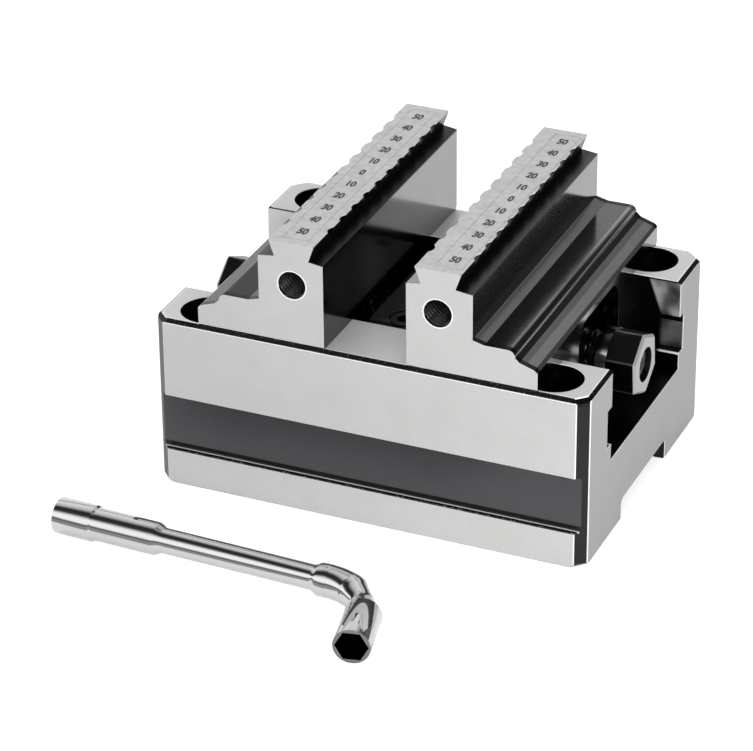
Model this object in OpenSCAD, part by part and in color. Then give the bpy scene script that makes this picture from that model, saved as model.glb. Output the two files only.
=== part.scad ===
// Self-centering vise: a slotted steel base, two jaws that slide apart and together on it,
// and one spindle with a left-hand and a right-hand thread that drives both jaws.
// X runs along the spindle, Y along the jaws, Z up. The origin is the centre of the base's underside.
// Its socket wrench lies on the ground in front of it.

/* [Base] */
// Length of the base along the spindle
base_l = 160; // [156:1:200]
// Width of the base on each side of the way
side_w = 24.5; // [23.5:0.5:45]
// Height of the base
base_h = 65.5; // [63:0.5:75]
// Setback of the four vertical corner cuts
corner_cut = 4; // [1:0.5:6]
// Setback of the chamfer along the top edges
top_cut = 1; // [0.5:0.25:1.5]
// Setback of the chamfer along the bottom edges
bottom_cut = 1; // [0.5:0.25:1.5]
// Setback of the chamfer above and below the corner cuts
corner_edge = 1.7; // [1.7:0.1:2.2]
// Depth of the clamping groove in each long side
groove_d = 2; // [1:0.25:3]
// Height of the lower edge of the clamping groove
groove_z = 14.5; // [10:0.5:18]
// Height of the clamping groove
groove_h = 21; // [14:0.5:24]
// Fillet radius in the clamping groove's two corners
groove_r = 0.9; // [0.4:0.1:0.9]
// Width of the channel under the base
channel_w = 46; // [44:1:60]
// Depth of the channel under the base
channel_h = 8.5; // [6:0.5:10]
// Fillet radius in the channel's two corners
channel_r = 2.5; // [1:0.5:2.5]

/* [Slide way] */
// Opening between the base's two lips
way_w = 70; // [66:0.5:80]
// Thickness of the lips
lip_t = 14; // [13.5:0.5:16]
// How far the way widens behind each lip
undercut = 4; // [2:0.5:4]
// Height of the widened part of the way
wing_h = 14.5; // [13:0.5:16]
// Depth of the chip channel below the widened part
chip_d = 6.5; // [5.5:0.5:8]
// Running clearance of sliding and turning faces
run_gap = 0.05; // [0.03:0.01:0.1]
// Clearance of fixed pieces in their seats
seat_gap = 0.04; // [0.02:0.01:0.08]

/* [Mounting holes] */
// Distance of the mounting holes from the ends of the base
hole_end = 16; // [13:0.5:18]
// How far the mounting holes lie inward of the middle of the wall beside the way
hole_shift = 0.75; // [0.25:0.25:1.25]
// Diameter of the mounting holes
hole_d = 13.5; // [9:0.5:13.5]
// Diameter of the mounting holes' counterbores
counterbore_d = 20; // [16:0.5:20]
// Depth of the mounting holes' counterbores
counterbore_h = 13; // [8:0.5:13]

/* [Jaws] */
// Opening between the jaws' inner faces as drawn
opening = 30.4; // [30.4:0.2:34]
// Height of a jaw from the base to its gripping edges
jaw_h = 38.5; // [36:0.5:60]
// Thickness of the jaw's upright block
block_t = 23.8; // [23:0.2:25]
// Length of the jaw's foot along the way
foot_l = 47; // [46:0.5:49]
// Height of the foot's upper step
foot_h = 14; // [13:0.5:20]
// Distance from the inner face to the foot's drop
step_l = 39; // [36:0.5:41]
// Height of the drop in the foot
step_drop = 4; // [3:0.1:4.5]
// Radius of the rounded edge above the drop
step_r = 2.5; // [0.5:0.25:2.5]
// How far the drop leans out below its rounded edge
step_lean = 1.6; // [0.5:0.1:2.5]
// Height of the foot at its outer end
nose_h = 8.25; // [7.5:0.25:9]
// Setback of the chamfer on the foot's outer end
nose_cut = 1; // [0.5:0.25:1.5]
// Length of the ramp between the upright block and the foot
ramp_l = 4.2; // [2:0.2:6]
// Height of the ramp between the upright block and the foot
ramp_h = 1.1; // [0.5:0.1:2]
// Setback of the chamfer under the jaw's two ends
jaw_cut = 1; // [0.5:0.25:1.5]
// Distance from the inner face to the nearer gripping edge
ridge_inset = 3.1; // [1:0.1:3.2]
// Width of the ridge across its two gripping edges
ridge_w = 16.7; // [15:0.1:18]
// Height of the ridge
ridge_h = 6; // [5:0.25:8]
// How far each side of the ridge leans in below its gripping edge
ridge_flare = 2.1; // [1:0.1:3]
// Fall of the ledges away from the ridge
ledge_fall = 0.8; // [0:0.1:1.5]
// Pitch of the gaps between the gripping teeth
tooth_pitch = 10; // [9:0.5:11]
// Number of tooth gaps along each gripping edge
tooth_gaps = 10; // [4:2:10]
// Radius of the cutter that makes the tooth gaps
tooth_r = 4; // [2.5:0.25:4.5]
// Depth of the tooth gaps
tooth_d = 1.1; // [0.5:0.1:2]
// Diameter of the work stop's threaded hole, at its core
stop_d = 10.2; // [6:0.1:12]
// Depth of the work stop's threaded hole
stop_l = 20; // [10:1:30]
// Distance from the inner face to the work stop's hole
stop_x = 11.4; // [9:0.1:14]
// Height of the work stop's hole above the base
stop_z = 22.5; // [18:0.5:24]

/* [Jaw guides] */
// Gap between a closed jaw's guide and the centre bearing
guide_gap = 0.8; // [0.5:0.1:2]
// Clearance between the guide and the chip channel
chip_gap = 1; // [0.5:0.1:2]
// Width of the arch round the spindle at the jaw's outer end
arch_w = 40; // [38:0.5:44]
// Height of the arch's top above the spindle's axis
arch_up = 20.5; // [19:0.25:22]
// Radius of the arch's corners
arch_r = 8; // [3:0.5:12]
// Thickness of the guide's wall that carries the lead nut
nut_wall = 15; // [12:0.5:16]

/* [Spindle] */
// Depth of the spindle's axis below the base's top
axis_drop = 15.5; // [15:0.25:17]
// Outer diameter of the two threads
thread_d = 18; // [14:0.5:18]
// Diameter of the spindle in the centre bearing
journal_d = 19; // [18.5:0.5:20.5]
// Diameter of the spindle's centre collar
collar_d = 25; // [23.5:0.5:26]
// Thickness of the spindle's centre collar
collar_t = 6; // [4:0.5:7]
// Side of the square that turns each hexagon head
square_w = 11; // [8:0.25:11.5]
// Length of the square that turns each hexagon head
square_l = 7.4; // [5:0.2:7.4]

/* [Hexagon heads] */
// Distance across the flats of the hexagon
hex_af = 20.8; // [19:0.1:22]
// Setback of the chamfer round the hexagon's end
hex_cut = 0.9; // [0.4:0.1:1.2]
// Length of the hexagon
hex_l = 11; // [11:0.5:14]
// Setback of the hexagon's end from the end of the base
hex_setback = 0.5; // [0:0.1:1]
// Diameter of the round collar behind the hexagon
head_d = 22.4; // [20:0.2:24]
// Thickness of the round collar behind the hexagon
head_t = 4; // [2:0.5:4]
// Diameter of the bore in the hexagon's end
bore_d = 12.5; // [11:0.25:13]
// Depth of the bore in the hexagon's end
bore_l = 6; // [4:0.25:6]
// Turn of the hexagons as drawn
hex_turn = 6; // [0:1:59]

/* [Centre bearing] */
// Thickness of the bearing block along the spindle
bearing_t = 22; // [18:0.5:22]
// Gap between the bearing block and each side of the way
bearing_side = 3; // [2:0.5:4]
// Depth of the bearing cap's top below the base's top
cap_drop = 1; // [0.5:0.25:1.5]
// Radius of the cap's and saddle's rounded edges
cap_r = 4; // [1:0.5:5]
// Thickness of the two thrust washers
washer_t = 2.9; // [1.5:0.1:3.5]
// Clearance round the collar and the thrust washers
collar_gap = 0.5; // [0.3:0.1:1]
// Distance of the cap screws from the bearing block's sides
cap_screw_edge = 6.5; // [6.25:0.25:7]
// Depth of the cap screws' thread in the saddle
cap_screw_grip = 11; // [8:0.5:11]
// Distance of the saddle screws from the spindle's axis
saddle_screw_y = 14.5; // [14:0.25:15]
// Depth of the saddle screws' thread in the saddle
saddle_screw_grip = 8; // [6:0.25:8]
// Distance of the dowels from the spindle's axis
dowel_y = 21.5; // [21.25:0.25:22]
// Diameter of the dowels
dowel_d = 5; // [4:0.5:6]
// Length of the dowels
dowel_l = 10; // [8:0.5:11]

/* [Lead nuts] */
// Outer diameter of the nut's body
nut_d = 24; // [22:0.5:24]
// Diameter of the nut's flange
flange_d = 36; // [35:0.5:36]
// Thickness of the nut's flange
flange_t = 4; // [3:0.5:5]
// Diameter of the circle of the four nut screws
nut_circle = 30; // [29:0.25:30]
// Depth of the nut screws' thread in the jaw
nut_screw_grip = 9; // [6:0.5:10]
// How far the nut's inner end is set back in the guide
nut_setback = 0.5; // [0.5:0.1:2]

/* [Screws] */
// Thread diameter of the bearing's and the heads' screws
screw_d = 6; // [5:0.5:6]
// Thread diameter of the nut screws
nut_screw_d = 4; // [3:0.5:4]
// Clearance of a screw in its through hole
screw_gap = 0.3; // [0.1:0.05:0.5]

/* [Socket wrench] */
// Distance of the wrench's bend in front of the base's long side
wrench_out = 48; // [40:0.5:80]
// Place of the wrench's bend along the base
wrench_x = 23; // [-20:1:60]
// Turn of the wrench on the ground
wrench_turn = -2; // [-10:1:2]
// Length of the long arm from its end to the bend's corner
arm_l = 119; // [100:1:150]
// Length of the short arm from the bend's corner to its mouth
leg_l = 34; // [30:1:50]
// Angle through which the arm is bent
bend_turn = 76; // [70:1:90]
// Radius of the bend at the bar's centre
bend_r = 20; // [17:0.5:24]
// Distance from the bend's corner to the start of the stout part
neck_gap = 19; // [17:0.5:24]
// Angle of the bend at the end of its stout part
knee_turn = 28; // [20:1:32]
// Angle of the bend at its waist
waist_turn = 53; // [48:1:58]
// Diameter of the waist
waist_d = 8.2; // [8:0.1:10]
// Distance from the bend's corner to the start of the short socket
mouth_gap = 14.25; // [13.5:0.25:14.5]
// Outer diameter of the two sockets
socket_d = 12.8; // [12.4:0.1:15]
// Outer diameter of the arm behind the long socket and of the stout part
sleeve_d = 11.5; // [11:0.1:12.2]
// Diameter of the bare bar
shaft_d = 8.8; // [7:0.1:10]
// Length of the long socket
socket_l = 14; // [12:0.5:20]
// Length of the arm behind the long socket
sleeve_l = 24; // [16:0.5:30]
// Distance across the flats of the sockets' hexagon
key_af = 10; // [8:0.1:10.2]
// Depth of the sockets
key_l = 12; // [8:0.5:14]

/* [Hidden] */
$fn = 64;
// Overlap of a cut past the face that it opens
cut = 1;
lip_z = base_h - lip_t;
wing_z = lip_z - wing_h;
floor_z = wing_z - chip_d;
axis_z = base_h - axis_drop;
base_w = way_w + 2 * side_w;
hole_x = base_l / 2 - hole_end;
hole_y = (base_w / 2 - groove_d + way_w / 2 + undercut) / 2 - hole_shift;
jaw_w = base_w;
jaw_x = opening / 2;
guide_x = jaw_x + bearing_t / 2 + guide_gap;
nut_x = guide_x + nut_wall;
head_end = base_l / 2 - hex_setback;
head_x = head_end - hex_l - head_t;
cap_z = base_h - cap_drop;
bearing_w = way_w - 2 * bearing_side;
cap_screw_y = bearing_w / 2 - cap_screw_edge;
cavity_d = collar_d + 2 * collar_gap;
cavity_t = collar_t + 2 * washer_t + 4 * run_gap;
tap_gap = seat_gap;
wrench_z = socket_d / 2;
bend_run = bend_r * tan(bend_turn / 2);
// Steps between the wrench's overlapping pieces, so that none of their faces coincide
lap = 0.5;
bend_step = 0.1;
steel = "silver";
dark_steel = "#3a3b3d";
black_steel = "#232426";
bronze = "#b08d57";
chrome = "gainsboro";

// Helpers

// Distance across the corners of a hexagon with the given distance across its flats
function hex_corners(flats) = flats / cos(30);

// A piece drawn on the right side, or its mirror image on the left side
module on_side(side) {
    mirror([side < 0 ? 1 : 0, 0, 0]) children();
}

// A cylinder along X from x0 to x1, centred on the spindle's axis
module along_x(x0, x1, d) {
    translate([x0, 0, axis_z]) rotate([0, 90, 0]) cylinder(d = d, h = x1 - x0);
}

// An outline in Y and Z, extruded along X from x0 to x1
module extrude_x(x0, x1) {
    translate([x0, 0, 0]) rotate([90, 0, 90]) linear_extrude(x1 - x0) children();
}

// An outline in X and Z, extruded along Y over the given width, centred
module extrude_y(width) {
    translate([0, width / 2, 0]) rotate([90, 0, 0]) linear_extrude(width) children();
}

// A rectangle between two corners
module span(low, high) {
    translate(low) square(high - low);
}

// The sliver between a corner and a circle that touches both its sides.
// Added it makes a fillet, taken away it rounds an edge. dx and dy point to the circle.
module corner_sliver(at, dx, dy, r) {
    translate(at) scale([dx, dy]) difference() {
        translate([-0.001, -0.001]) square(r + 0.001);
        translate([r, r]) circle(r);
    }
}

// A socket-head screw along Z: its head sits on z = 0 and its thread reaches down
module socket_screw(d, length) {
    head_d = 5 / 3 * d;
    difference() {
        union() {
            cylinder(d = head_d, h = 0.7 * d);
            translate([0, 0, -length]) cylinder(d = d - 2 * tap_gap, h = length + 0.01);
        }
        translate([0, 0, 0.25 * d]) cylinder(d = hex_corners(0.8 * d), h = d, $fn = 6);
    }
}

// Head sizes that the counterbores share with the screws
function head_width(d) = 5 / 3 * d;
function head_height(d) = 0.7 * d;

// Base

// A rectangle on the ground with its lower and upper corners cut off
function cut_rectangle(width) = [
    [bottom_cut - width / 2, 0], [width / 2 - bottom_cut, 0], [width / 2, bottom_cut],
    [width / 2, base_h - top_cut], [width / 2 - top_cut, base_h], [top_cut - width / 2, base_h],
    [-width / 2, base_h - top_cut], [-width / 2, bottom_cut],
];

// End view of the base: block, T-shaped way, clamping grooves and the channel underneath
module base_outline() {
    difference() {
        polygon(cut_rectangle(base_w));
        span([-way_w / 2, floor_z], [way_w / 2, base_h + cut]);
        span([-way_w / 2 - undercut, wing_z], [way_w / 2 + undercut, lip_z]);
        difference() {
            span([-channel_w / 2, -cut], [channel_w / 2, channel_h]);
            for (s = [-1, 1])
                corner_sliver([s * channel_w / 2, channel_h], -s, -1, channel_r);
        }
        for (s = [-1, 1]) mirror([s < 0 ? 1 : 0, 0]) difference() {
            span([base_w / 2 - groove_d, groove_z], [base_w / 2 + cut, groove_z + groove_h]);
            corner_sliver([base_w / 2 - groove_d, groove_z], 1, 1, groove_r);
            corner_sliver([base_w / 2 - groove_d, groove_z + groove_h], 1, -1, groove_r);
        }
    }
}

// Upright prism whose four sides cut the base's corners off
module corner_prism() {
    reach = (base_l + base_w) / 2 - corner_cut;
    translate([0, 0, -cut]) linear_extrude(base_h + 2 * cut)
        polygon([[reach, 0], [0, reach], [-reach, 0], [0, -reach]]);
}

// Bars that chamfer the corner cuts' ends at one height
module corner_bars(z) {
    bar = corner_edge * sqrt(2);
    for (sx = [-1, 1], sy = [-1, 1])
        translate([sx * (base_l - corner_cut) / 2, sy * (base_w - corner_cut) / 2, z])
            rotate([0, 0, sx * sy * 45 - 90]) rotate([45, 0, 0])
                cube([2 * corner_cut + 2 * corner_edge, bar, bar], center = true);
}

module base_body() color(steel) difference() {
    intersection() {
        extrude_x(-base_l / 2 - cut, base_l / 2 + cut) base_outline();
        extrude_y(base_w + 2 * cut) polygon(cut_rectangle(base_l));
        corner_prism();
    }
    corner_bars(base_h);
    corner_bars(0);
    for (sx = [-1, 1], sy = [-1, 1]) translate([sx * hole_x, sy * hole_y, 0]) {
        translate([0, 0, -cut]) cylinder(d = hole_d, h = base_h + 2 * cut);
        translate([0, 0, base_h - counterbore_h]) cylinder(d = counterbore_d, h = counterbore_h + cut);
    }
    for (s = [-1, 1]) {
        translate([0, s * saddle_screw_y, 0]) {
            cylinder(d = screw_d + 2 * screw_gap, h = floor_z + cut);
            cylinder(d = head_width(screw_d) + 2 * screw_gap,
                     h = channel_h + head_height(screw_d) + screw_gap);
        }
        translate([0, s * dowel_y, floor_z - dowel_l / 2 - seat_gap])
            cylinder(d = dowel_d + 2 * seat_gap, h = dowel_l);
    }
}

// Centre bearing

// End view of the bearing block before it is split at the spindle's axis
module bearing_outline() {
    difference() {
        span([-bearing_w / 2, floor_z], [bearing_w / 2, cap_z]);
        for (s = [-1, 1]) corner_sliver([s * bearing_w / 2, cap_z], -s, -1, cap_r);
    }
}

// The bearing block between two heights, bored for the spindle, its collar and the washers
module bearing_half(low, high) {
    difference() {
        intersection() {
            extrude_x(-bearing_t / 2, bearing_t / 2) bearing_outline();
            translate([-bearing_t, -bearing_w, low]) cube([2 * bearing_t, 2 * bearing_w, high - low]);
        }
        along_x(-bearing_t, bearing_t, journal_d + 2 * run_gap);
        along_x(-cavity_t / 2, cavity_t / 2, cavity_d);
    }
}

module bearing_saddle() color(dark_steel) difference() {
    bearing_half(floor_z, axis_z);
    for (s = [-1, 1]) {
        translate([0, s * cap_screw_y, axis_z - cap_screw_grip - cut])
            cylinder(d = screw_d, h = cap_screw_grip + 2 * cut);
        translate([0, s * saddle_screw_y, floor_z - cut])
            cylinder(d = screw_d, h = saddle_screw_grip + 2 * cut);
        translate([0, s * dowel_y, floor_z - cut])
            cylinder(d = dowel_d + 2 * seat_gap, h = dowel_l / 2 + cut + seat_gap);
    }
}

module bearing_cap() color(dark_steel) difference() {
    bearing_half(axis_z, cap_z);
    for (s = [-1, 1]) translate([0, s * cap_screw_y, 0]) {
        translate([0, 0, axis_z - cut])
            cylinder(d = screw_d + 2 * screw_gap, h = cap_z - axis_z + 2 * cut);
        translate([0, 0, cap_z - head_height(screw_d) - screw_gap])
            cylinder(d = head_width(screw_d) + 2 * screw_gap, h = head_height(screw_d) + cut);
    }
}

module cap_screws() color(black_steel) {
    seat_z = cap_z - head_height(screw_d) - screw_gap;
    for (s = [-1, 1]) translate([0, s * cap_screw_y, seat_z])
        socket_screw(screw_d, seat_z - axis_z + cap_screw_grip);
}

module saddle_screws() color(black_steel) {
    seat_z = channel_h + head_height(screw_d) + screw_gap;
    for (s = [-1, 1]) translate([0, s * saddle_screw_y, seat_z]) mirror([0, 0, 1])
        socket_screw(screw_d, floor_z + saddle_screw_grip - seat_z);
}

module saddle_dowels() color(steel)
    for (s = [-1, 1]) translate([0, s * dowel_y, floor_z - dowel_l / 2])
        cylinder(d = dowel_d, h = dowel_l);

module thrust_washer() color(bronze) difference() {
    along_x(collar_t / 2 + run_gap, collar_t / 2 + run_gap + washer_t, collar_d);
    along_x(0, bearing_t, journal_d + 2 * run_gap);
}

module thrust_washer_left() on_side(-1) thrust_washer();

module thrust_washer_right() on_side(1) thrust_washer();

// Spindle and its hexagon heads

module spindle() color(dark_steel) {
    difference() {
        union() {
            along_x(-collar_t / 2, collar_t / 2, collar_d);
            along_x(-bearing_t / 2 - run_gap, bearing_t / 2 + run_gap, journal_d);
            along_x(-head_x, head_x, thread_d);
            translate([-head_x - square_l, 0, axis_z]) rotate([hex_turn, 0, 0])
                translate([0, -square_w / 2, -square_w / 2])
                    cube([2 * (head_x + square_l), square_w, square_w]);
        }
        for (s = [-1, 1]) on_side(s)
            along_x(head_x - screw_d, head_x + square_l + cut, screw_d);
    }
}

// The slab between two opposite flats of the hexagon, with its outer edges chamfered
module hex_slab(turn) {
    half = hex_af / 2;
    rotate([turn, 0, 0]) linear_extrude(2 * hex_af, center = true)
        polygon([[0, -half], [hex_l - hex_cut, -half], [hex_l, hex_cut - half], [hex_l, half - hex_cut],
                 [hex_l - hex_cut, half], [0, half]]);
}

module hex_head() color(black_steel) difference() {
    union() {
        along_x(head_x, head_end - hex_l, head_d);
        translate([head_end - hex_l, 0, axis_z]) intersection() {
            hex_slab(hex_turn);
            hex_slab(hex_turn + 60);
            hex_slab(hex_turn + 120);
        }
    }
    translate([head_x - cut, 0, axis_z]) rotate([hex_turn, 0, 0])
        translate([0, -square_w / 2 - seat_gap, -square_w / 2 - seat_gap])
            cube([square_l + cut + seat_gap, square_w + 2 * seat_gap, square_w + 2 * seat_gap]);
    along_x(head_x, head_end, screw_d + 2 * screw_gap);
    along_x(head_end - bore_l, head_end + cut, bore_d);
}

module hex_head_left() on_side(-1) hex_head();

module hex_head_right() on_side(1) hex_head();

module hex_screw() color(steel)
    translate([head_end - bore_l, 0, axis_z]) rotate([0, 90, 0])
        socket_screw(screw_d, head_end - bore_l - head_x + screw_d - 2 * seat_gap);

module hex_screw_left() on_side(-1) hex_screw();

module hex_screw_right() on_side(1) hex_screw();

// Jaws

// Side view of the right jaw above the base, from its inner face outward
module jaw_outline() {
    notch_z = jaw_h - ridge_h;
    ridge_end = ridge_inset + ridge_w;
    translate([jaw_x, base_h]) difference() {
        polygon([
            [0, run_gap],
            [foot_l, run_gap],
            [foot_l, nose_h - nose_cut],
            [foot_l - nose_cut, nose_h],
            [step_l + step_lean, foot_h - step_drop],
            [step_l, foot_h - step_r],
            [step_l, foot_h],
            [block_t + ramp_l, foot_h],
            [block_t, foot_h + ramp_h],
            [block_t, notch_z - ledge_fall],
            [ridge_end - ridge_flare, notch_z],
            [ridge_end, jaw_h],
            [ridge_inset, jaw_h],
            [ridge_inset + ridge_flare, notch_z],
            [0, notch_z - ledge_fall],
        ]);
        corner_sliver([step_l, foot_h], -1, -1, step_r);
    }
}

// End view of the jaw above the base, with its two lower edges chamfered
module jaw_end_outline() {
    low = base_h + run_gap;
    high = base_h + jaw_h + cut;
    polygon([
        [jaw_cut - jaw_w / 2, low], [jaw_w / 2 - jaw_cut, low], [jaw_w / 2, low + jaw_cut],
        [jaw_w / 2, high], [-jaw_w / 2, high], [-jaw_w / 2, low + jaw_cut],
    ]);
}

// End view of the guide under the jaw: neck between the lips, wings behind them, foot above the chips
module guide_outline() {
    half = way_w / 2 - run_gap;
    span([-half, lip_z - cut], [half, base_h + cut]);
    span([-half - undercut, wing_z + run_gap], [half + undercut, lip_z - run_gap]);
    span([-half + chip_gap, floor_z + chip_gap], [half - chip_gap, wing_z + cut]);
}

// End view of the arch that lets the hexagon head and its wrench pass
module arch_outline() {
    top = axis_z + arch_up;
    difference() {
        span([-arch_w / 2, floor_z - cut], [arch_w / 2, top]);
        for (s = [-1, 1]) corner_sliver([s * arch_w / 2, top], -s, -1, arch_r);
    }
}

// Cutters for the gaps between the teeth of both gripping edges
module tooth_cutters() {
    inner_edge = jaw_x + ridge_inset;
    outer_edge = inner_edge + ridge_w;
    first = -(tooth_gaps - 1) / 2 * tooth_pitch;
    for (i = [0 : tooth_gaps - 1], x = [inner_edge - tooth_r + tooth_d, outer_edge + tooth_r - tooth_d])
        translate([x, first + i * tooth_pitch, base_h + jaw_h - ridge_h])
            cylinder(r = tooth_r, h = ridge_h + cut);
}

module jaw() color(dark_steel) difference() {
    union() {
        intersection() {
            extrude_y(jaw_w + 2 * cut) jaw_outline();
            extrude_x(0, base_l) jaw_end_outline();
        }
        extrude_x(guide_x, jaw_x + foot_l) guide_outline();
    }
    tooth_cutters();
    extrude_x(nut_x, base_l) arch_outline();
    along_x(0, base_l, nut_d + 2 * seat_gap);
    for (s = [-1, 1])
        translate([jaw_x + stop_x, s * (jaw_w / 2 + cut), base_h + stop_z])
            rotate([s * 90, 0, 0]) cylinder(d = stop_d, h = stop_l + cut);
    nut_screw_places() translate([0, 0, -nut_screw_grip - cut])
        cylinder(d = nut_screw_d, h = nut_screw_grip + 2 * cut);
}

module jaw_left() on_side(-1) jaw();

module jaw_right() on_side(1) jaw();

// Lead nuts

// The four places of the nut screws on the guide's wall, with Z pointing outward along the spindle
module nut_screw_places() {
    for (a = [45 : 90 : 315])
        translate([nut_x, 0, axis_z]) rotate([a, 0, 0]) translate([0, nut_circle / 2, 0])
            rotate([0, 90, 0]) children();
}

module lead_nut() color(dark_steel) difference() {
    union() {
        along_x(guide_x + nut_setback, nut_x + flange_t, nut_d);
        along_x(nut_x, nut_x + flange_t, flange_d);
    }
    along_x(0, base_l, thread_d + 2 * run_gap);
    nut_screw_places() translate([0, 0, -cut])
        cylinder(d = nut_screw_d + 2 * screw_gap, h = flange_t + 2 * cut);
}

module lead_nut_left() on_side(-1) lead_nut();

module lead_nut_right() on_side(1) lead_nut();

module nut_screws() color(black_steel)
    nut_screw_places() translate([0, 0, flange_t])
        socket_screw(nut_screw_d, flange_t + nut_screw_grip);

module nut_screws_left() on_side(-1) nut_screws();

module nut_screws_right() on_side(1) nut_screws();

// Socket wrench

// A hexagon socket cut into an arm's end, with the arm's outside along Z from z = 0
module socket_cut() {
    translate([0, 0, -cut]) rotate(30) cylinder(d = hex_corners(key_af), h = key_l + cut, $fn = 6);
}

// A place on the bend's centre line, with Z pointing along it or turned further by the given lean
module on_bend(turn, lean = 0) {
    translate([-bend_run, -bend_r, 0]) rotate(-turn) translate([0, bend_r, 0])
        rotate([0, 90, -lean]) children();
}

// A cone between two places of the bend, given by their angles
module bend_cone(low, high, d_low, d_high) {
    lean = (high - low) / 2;
    on_bend(low, lean) cylinder(d1 = d_low, d2 = d_high, h = 2 * bend_r * sin(lean));
}

// The bend: its stout part, a waist, and the cone that widens to the short socket
module wrench_bend() {
    translate([-bend_run, -bend_r, 0]) rotate(90 - knee_turn)
        rotate_extrude(angle = knee_turn) translate([bend_r, 0]) circle(d = sleeve_d - bend_step);
    on_bend(knee_turn) sphere(d = sleeve_d - 2 * bend_step);
    bend_cone(knee_turn, waist_turn, sleeve_d - 3 * bend_step, waist_d);
    on_bend(waist_turn) sphere(d = waist_d + bend_step);
    bend_cone(waist_turn, bend_turn, waist_d, socket_d - 4 * bend_step);
}

module socket_wrench() color(chrome) {
    translate([wrench_x, -base_w / 2 - wrench_out, wrench_z]) rotate(wrench_turn) difference() {
        union() {
            translate([-arm_l, 0, 0]) rotate([0, 90, 0])
                rotate_extrude() arm_profile(arm_l - bend_run + lap, arm_l - neck_gap);
            wrench_bend();
            rotate(-bend_turn) translate([mouth_gap, 0, 0]) rotate([0, 90, 0])
                cylinder(d = socket_d, h = leg_l - mouth_gap);
        }
        translate([-arm_l, 0, 0]) rotate([0, 90, 0]) socket_cut();
        rotate(-bend_turn) translate([leg_l, 0, 0]) rotate([0, -90, 0]) socket_cut();
    }
}

// Half outline of the wrench's long arm, from its open end at z = 0 to the bend
module arm_profile(length, neck_z) {
    slope = (sleeve_d - shaft_d) / 2;
    sleeve_end = socket_l + sleeve_l;
    polygon([
        [0, 0],
        [socket_d / 2, 0],
        [socket_d / 2, socket_l],
        [sleeve_d / 2, socket_l + slope / 2],
        [sleeve_d / 2, sleeve_end],
        [shaft_d / 2, sleeve_end + 2 * slope],
        [shaft_d / 2, neck_z - 2 * slope],
        [sleeve_d / 2, neck_z],
        [sleeve_d / 2, length],
        [0, length],
    ]);
}

base_body();
bearing_saddle();
bearing_cap();
cap_screws();
saddle_screws();
saddle_dowels();
thrust_washer_left();
thrust_washer_right();
spindle();
hex_head_left();
hex_head_right();
hex_screw_left();
hex_screw_right();
jaw_left();
jaw_right();
lead_nut_left();
lead_nut_right();
nut_screws_left();
nut_screws_right();
socket_wrench();
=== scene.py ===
# %% [markdown]
# Self-centering vise, dressed for its picture.
# The real object is a ground steel block with an open T-shaped way, two jaws that slide in it and one
# spindle that drives both. All of it could be modelled here, but the CAD model already has every solid at
# its true place. So this script loads that model as a frame and adds only what CAD leaves out: finishes,
# softened edges, screw threads and scale numbers.

# %% Load the frame
import math

import bmesh
import bpy
from mathutils import Matrix, Vector


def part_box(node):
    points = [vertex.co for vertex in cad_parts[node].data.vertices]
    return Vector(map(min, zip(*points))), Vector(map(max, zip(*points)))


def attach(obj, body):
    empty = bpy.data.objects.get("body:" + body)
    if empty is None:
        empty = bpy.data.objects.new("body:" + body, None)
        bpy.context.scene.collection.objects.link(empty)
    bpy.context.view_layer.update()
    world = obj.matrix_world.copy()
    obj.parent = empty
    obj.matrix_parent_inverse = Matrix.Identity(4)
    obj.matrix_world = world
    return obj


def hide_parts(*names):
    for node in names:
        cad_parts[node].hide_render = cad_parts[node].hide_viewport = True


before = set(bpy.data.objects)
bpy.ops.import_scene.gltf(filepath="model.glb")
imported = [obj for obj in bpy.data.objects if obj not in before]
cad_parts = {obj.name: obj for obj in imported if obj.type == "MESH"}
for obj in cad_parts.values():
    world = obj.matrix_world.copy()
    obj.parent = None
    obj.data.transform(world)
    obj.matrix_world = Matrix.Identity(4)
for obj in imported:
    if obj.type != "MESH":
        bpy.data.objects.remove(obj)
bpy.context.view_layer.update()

# %% [markdown]
# A drawing of the vise would give each size once. Here the sizes could be typed in again, but they are read
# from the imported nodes, so a change in CAD moves everything below with it. Only sizes that no box can tell,
# such as the spindle's diameters, are written down where they are used.

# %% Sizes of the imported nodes
MM = 0.001
base_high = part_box("base_body")[1]
jaw_low, jaw_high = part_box("jaw_right")
hex_low, hex_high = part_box("hex_head_right")
axis_z = (hex_low.z + hex_high.z) / 2
jaw_inner = jaw_low.x
jaw_side = jaw_high.y
top_z = base_high.z
ridge_z = jaw_high.z
print("base top", top_z, "ridge top", ridge_z, "spindle axis", axis_z, "jaw's inner face", jaw_inner)

# %% [markdown]
# The steel of this vise changes its finish from spot to spot, and its materials are mostly sums and products
# of masks. Such a node tree could be wired by hand, but it gets long and hard to read. So a wire becomes a
# Python object: adding two wires makes the Math node that adds them. Everything else comes from one method
# that makes any node from its type, its settings and its inputs.

# %% Greys
def grey(level, blue=0.0):
    """An opaque grey, with a touch of blue if asked for."""
    return (level, level, level + blue, 1.0)


print("a middle grey is", grey(0.5))

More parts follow.
